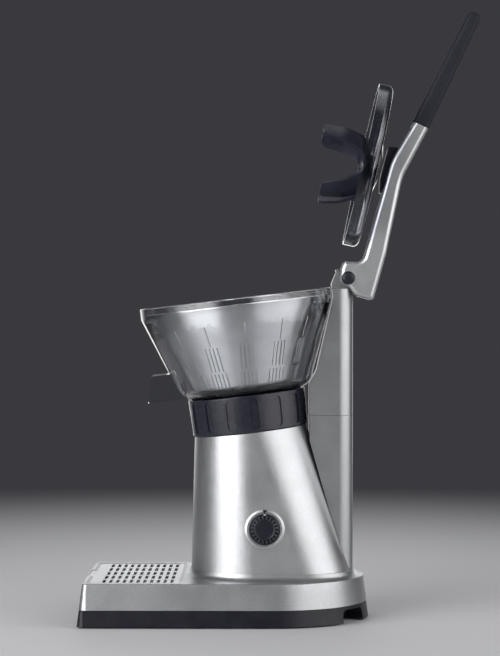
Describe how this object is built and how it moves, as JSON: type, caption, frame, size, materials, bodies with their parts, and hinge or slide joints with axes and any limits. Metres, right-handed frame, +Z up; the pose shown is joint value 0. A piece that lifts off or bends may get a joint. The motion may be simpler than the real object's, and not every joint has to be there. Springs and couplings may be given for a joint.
{
  "type": "electric citrus press",
  "caption": "Electric citrus press with a lever arm, a clear lid and petal press cup, a steel strainer and reamer in a clear spouted bowl, a motor housing with a dial, and a drip tray.",
  "frame": {"origin": "on the table plane, halfway along the base and on its middle line", "axes": "+Z up, +X to the rear where the column stands, -Y to the side with the dial"},
  "size_m": [0.4265, 0.2078, 0.6507],
  "materials": {
    "silver_paint": "satin silver paint",
    "dark_base": "satin blue-black",
    "foot_rubber": "matt",
    "black_plastic": "satin",
    "collar_black": "satin",
    "board": "satin",
    "screw_steel": "zinc plated",
    "gearbox_plastic": "moulded",
    "gear_plastic": "natural acetal",
    "bush_bronze": "sintered",
    "bright_steel": "polished",
    "zinc_steel": "zinc plated",
    "field_iron": "laminated",
    "hinge_grey": "satin",
    "bezel_silver": "metallised",
    "arm_inlay": "satin",
    "soft_grip": "soft touch",
    "clear_plastic": "clear",
    "dial_black": "satin",
    "grille_metal": "satin"
  },
  "bodies": {
    "stand": {"base_cover": "silver_paint", "underbody": "dark_base", "rubber_feet": "foot_rubber", "cable_gland": "black_plastic", "control_board": "board", "board_screws": "screw_steel", "base_screws": "screw_steel", "drive_housing": "silver_paint", "drive_deck": "black_plastic", "deck_screws": "screw_steel", "start_switch": "black_plastic", "shaft_seal": "foot_rubber", "gearbox_base": "gearbox_plastic", "gearbox_cover": "gearbox_plastic", "gearbox_screws": "screw_steel", "output_bush": "bush_bronze", "idler_axle": "bright_steel", "motor_case": "zinc_steel", "motor_end_cap": "zinc_steel", "motor_field": "field_iron", "motor_bush": "bush_bronze", "motor_dampers": "foot_rubber", "motor_screws": "screw_steel", "column_lower": "silver_paint", "column_cover": "silver_paint", "column_post": "zinc_steel", "post_pin": "bright_steel", "post_screws": "screw_steel", "hinge_block": "hinge_grey", "hinge_pin": "bright_steel", "hinge_washers": "gear_plastic", "hinge_caps": "black_plastic", "dial_bezel": "bezel_silver", "speed_sensor": "gearbox_plastic"},
    "arm": {"arm_shell": "silver_paint", "arm_front_cover": "arm_inlay", "grip": "soft_grip", "grip_tang": "zinc_steel", "bracket_screws": "screw_steel", "lid_bracket": "black_plastic", "press_lid": "clear_plastic", "cup_bolt": "bright_steel", "hinge_bushes": "bush_bronze"},
    "cup": {"press_cup": "black_plastic"},
    "collar": {"twist_collar": "collar_black"},
    "bowl": {"juice_bowl": "clear_plastic"},
    "strainer": {"strainer": "bright_steel"},
    "reamer": {"reamer": "bright_steel"},
    "rotor": {"motor_rotor": "field_iron"},
    "idler": {"idler_gear": "gear_plastic"},
    "output": {"output_gear": "gear_plastic"},
    "shaft": {"output_shaft": "bright_steel"},
    "dial": {"dial_knob": "dial_black", "dial_spindle": "gear_plastic"},
    "tray": {"drip_tray": "silver_paint"},
    "grille": {"drip_grille": "grille_metal"}
  },
  "joints": [
    {"name": "arm_hinge", "type": "hinge", "parent": "stand", "child": "arm", "pos_m": [0.131, 0, 0.3649], "axis": [0, 1, 0], "range_deg": [-109.5, 0]},
    {"name": "cup_swing", "type": "hinge", "parent": "arm", "child": "cup", "pos_m": [0.16114, 0, 0.4841], "axis": [0, 1, 0], "range_deg": [0, 18]},
    {"name": "collar_turn", "type": "hinge", "parent": "stand", "child": "collar", "pos_m": [0.0219, 0, 0.2401], "axis": [-0.1167, 0, 0.9932], "range_deg": [0, 30]},
    {"name": "bowl_lift", "type": "slide", "parent": "stand", "child": "bowl", "axis": [-0.1167, 0, 0.9932], "range_m": [0, 0.06]},
    {"name": "strainer_lift", "type": "slide", "parent": "bowl", "child": "strainer", "axis": [-0.1167, 0, 0.9932], "range_m": [0, 0.06]},
    {"name": "motor_spin", "type": "hinge", "parent": "stand", "child": "rotor", "pos_m": [0.0219, 0, 0.2401], "axis": [-0.1167, 0, 0.9932], "continuous": true},
    {"name": "idler_spin", "type": "hinge", "parent": "stand", "child": "idler", "pos_m": [0.0219, 0.029, 0.2401], "axis": [-0.1167, 0, 0.9932], "continuous": true},
    {"name": "output_spin", "type": "hinge", "parent": "stand", "child": "output", "pos_m": [0.0219, 0, 0.2401], "axis": [-0.1167, 0, 0.9932], "continuous": true},
    {"name": "shaft_press", "type": "slide", "parent": "output", "child": "shaft", "axis": [-0.1167, 0, 0.9932], "range_m": [-0.0025, 0], "stiffness_N_per_m": 2000, "springref_m": 0.002},
    {"name": "reamer_lift", "type": "slide", "parent": "shaft", "child": "reamer", "axis": [-0.1167, 0, 0.9932], "range_m": [0, 0.138]},
    {"name": "dial_turn", "type": "hinge", "parent": "stand", "child": "dial", "pos_m": [0.042, -0.0669, 0.0998], "axis": [0, -0.9982, 0.0607], "range_deg": [-270, 0]},
    {"name": "tray_lift", "type": "slide", "parent": "stand", "child": "tray", "axis": [0, 0, 1], "range_m": [0, 0.04]},
    {"name": "grille_lift", "type": "slide", "parent": "tray", "child": "grille", "axis": [0, 0, 1], "range_m": [0, 0.03]}
  ],
  "couplings": [
    {"joint": "idler_spin", "follows": "motor_spin", "ratio": -0.26087},
    {"joint": "output_spin", "follows": "motor_spin", "ratio": 0.083004},
    {"joint": "strainer_lift", "follows": "bowl_lift", "ratio": 1},
    {"joint": "reamer_lift", "follows": "bowl_lift", "ratio": 2.3}
  ]
}
